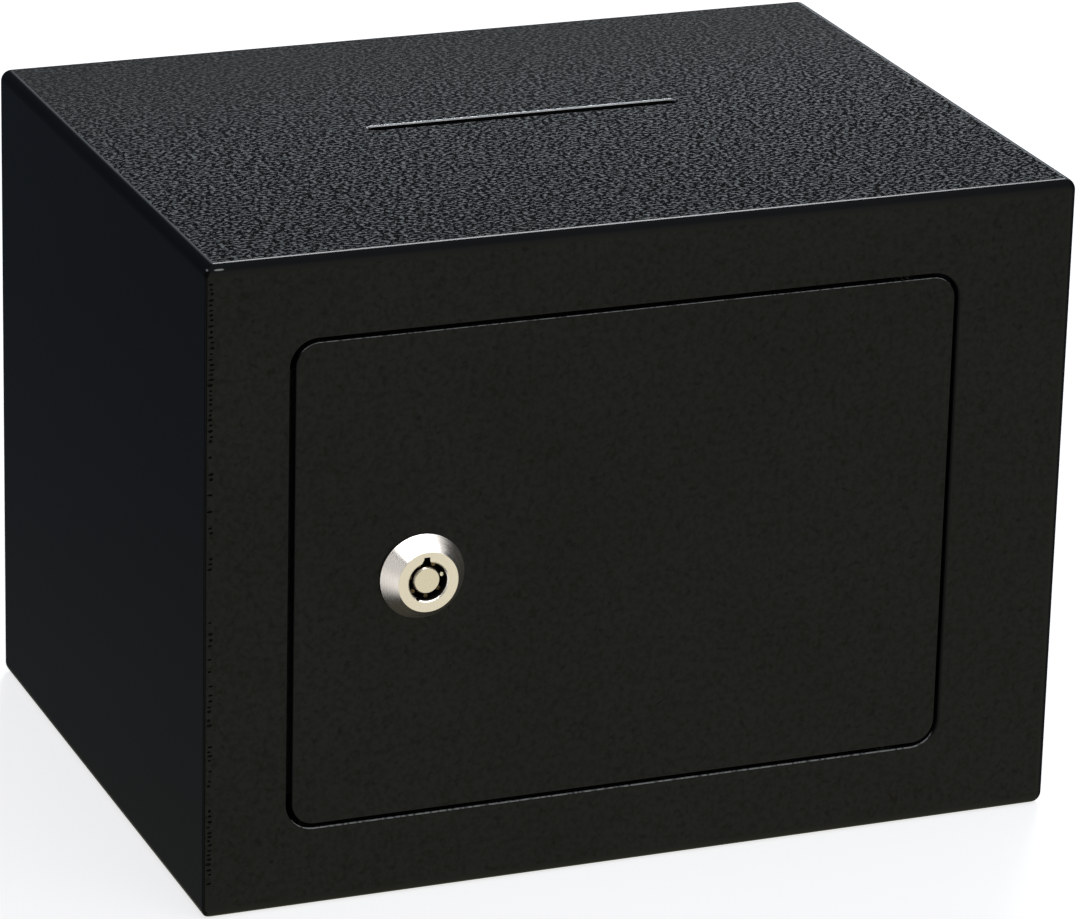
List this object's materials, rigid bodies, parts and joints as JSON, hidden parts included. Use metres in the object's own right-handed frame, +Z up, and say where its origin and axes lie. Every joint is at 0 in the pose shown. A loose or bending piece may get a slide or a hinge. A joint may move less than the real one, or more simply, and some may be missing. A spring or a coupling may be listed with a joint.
{
  "type": "coin slot safe",
  "caption": "Small black steel cash safe with a coin slot in the top, a flush right-hinged door and a tubular-key lock.",
  "frame": {"origin": "middle of the cabinet's underside", "axes": "+X to the right across the width, +Y from the door to the back, +Z up"},
  "size_m": [0.23, 0.177, 0.17],
  "materials": {
    "black_paint": "fine-textured black powder coat, semi-gloss",
    "felt": "needle-felt mat",
    "steel": "bright turned steel",
    "nylon": "natural nylon",
    "zinc": "clear zinc plate",
    "chrome": "satin nickel-chrome, turned",
    "nickel": "warm satin nickel",
    "brass": "turned brass"
  },
  "bodies": {
    "cabinet": {"body_shell": "black_paint", "back_panel": "black_paint", "floor_mat": "felt", "jamb_top": "black_paint", "jamb_bottom": "black_paint", "jamb_lock_side": "black_paint", "hinge_bracket_upper": "black_paint", "hinge_bracket_lower": "black_paint"},
    "door": {"door_plate": "black_paint", "bolt_guide": "zinc", "hinge_ear_upper": "black_paint", "hinge_ear_lower": "black_paint", "hinge_pin_upper": "steel", "hinge_pin_lower": "steel", "hinge_washer_upper": "nylon", "hinge_washer_lower": "nylon", "carriage_post_upper": "zinc", "carriage_post_lower": "zinc", "carriage_washer_upper": "zinc", "carriage_washer_lower": "zinc", "carriage_screw_upper": "zinc", "carriage_screw_lower": "zinc", "lock_housing": "chrome", "lock_washer": "zinc", "lock_nut": "zinc", "lock_retaining_ring": "steel"},
    "lock_core": {"lock_spindle": "nickel", "cam": "zinc", "cam_pin": "steel", "cam_washer": "zinc", "cam_screw": "zinc", "pin_spring_1": "steel", "pin_spring_2": "steel", "pin_spring_3": "steel", "pin_spring_4": "steel", "pin_spring_5": "steel", "pin_spring_6": "steel", "pin_spring_7": "steel"},
    "bolt_work": {"bolt_carriage": "zinc", "deadbolt_upper": "chrome", "deadbolt_lower": "chrome", "deadbolt_clip_upper": "zinc", "deadbolt_clip_lower": "zinc"},
    "lock_pin_1": {"lock_pin_1": "brass"},
    "lock_pin_2": {"lock_pin_2": "nickel"},
    "lock_pin_3": {"lock_pin_3": "brass"},
    "lock_pin_4": {"lock_pin_4": "nickel"},
    "lock_pin_5": {"lock_pin_5": "brass"},
    "lock_pin_6": {"lock_pin_6": "nickel"},
    "lock_pin_7": {"lock_pin_7": "brass"}
  },
  "joints": [
    {"name": "door_hinge", "type": "hinge", "parent": "cabinet", "child": "door", "pos_m": [0.07, -0.0785, 0.085], "axis": [0, 0, 1], "range_deg": [0, 105]},
    {"name": "lock_turn", "type": "hinge", "parent": "door", "child": "lock_core", "pos_m": [-0.059, -0.086, 0.085], "axis": [0, -1, 0], "range_deg": [0, 90]},
    {"name": "bolt_slide", "type": "slide", "parent": "door", "child": "bolt_work", "axis": [-1, 0, 0], "range_m": [0, 0.01414]},
    {"name": "lock_pin_1_push", "type": "slide", "parent": "lock_core", "child": "lock_pin_1", "axis": [0, 1, 0], "range_m": [0, 0.0022], "stiffness_N_per_m": 60, "springref_m": -0.002, "deforming": ["pin_spring_1"]},
    {"name": "lock_pin_2_push", "type": "slide", "parent": "lock_core", "child": "lock_pin_2", "axis": [0, 1, 0], "range_m": [0, 0.0022], "stiffness_N_per_m": 60, "springref_m": -0.002, "deforming": ["pin_spring_2"]},
    {"name": "lock_pin_3_push", "type": "slide", "parent": "lock_core", "child": "lock_pin_3", "axis": [0, 1, 0], "range_m": [0, 0.0022], "stiffness_N_per_m": 60, "springref_m": -0.002, "deforming": ["pin_spring_3"]},
    {"name": "lock_pin_4_push", "type": "slide", "parent": "lock_core", "child": "lock_pin_4", "axis": [0, 1, 0], "range_m": [0, 0.0022], "stiffness_N_per_m": 60, "springref_m": -0.002, "deforming": ["pin_spring_4"]},
    {"name": "lock_pin_5_push", "type": "slide", "parent": "lock_core", "child": "lock_pin_5", "axis": [0, 1, 0], "range_m": [0, 0.0022], "stiffness_N_per_m": 60, "springref_m": -0.002, "deforming": ["pin_spring_5"]},
    {"name": "lock_pin_6_push", "type": "slide", "parent": "lock_core", "child": "lock_pin_6", "axis": [0, 1, 0], "range_m": [0, 0.0022], "stiffness_N_per_m": 60, "springref_m": -0.002, "deforming": ["pin_spring_6"]},
    {"name": "lock_pin_7_push", "type": "slide", "parent": "lock_core", "child": "lock_pin_7", "axis": [0, 1, 0], "range_m": [0, 0.0022], "stiffness_N_per_m": 60, "springref_m": -0.002, "deforming": ["pin_spring_7"]}
  ],
  "couplings": [
    {"joint": "lock_turn", "follows": "bolt_slide", "rad_per_m": 111.07}
  ]
}
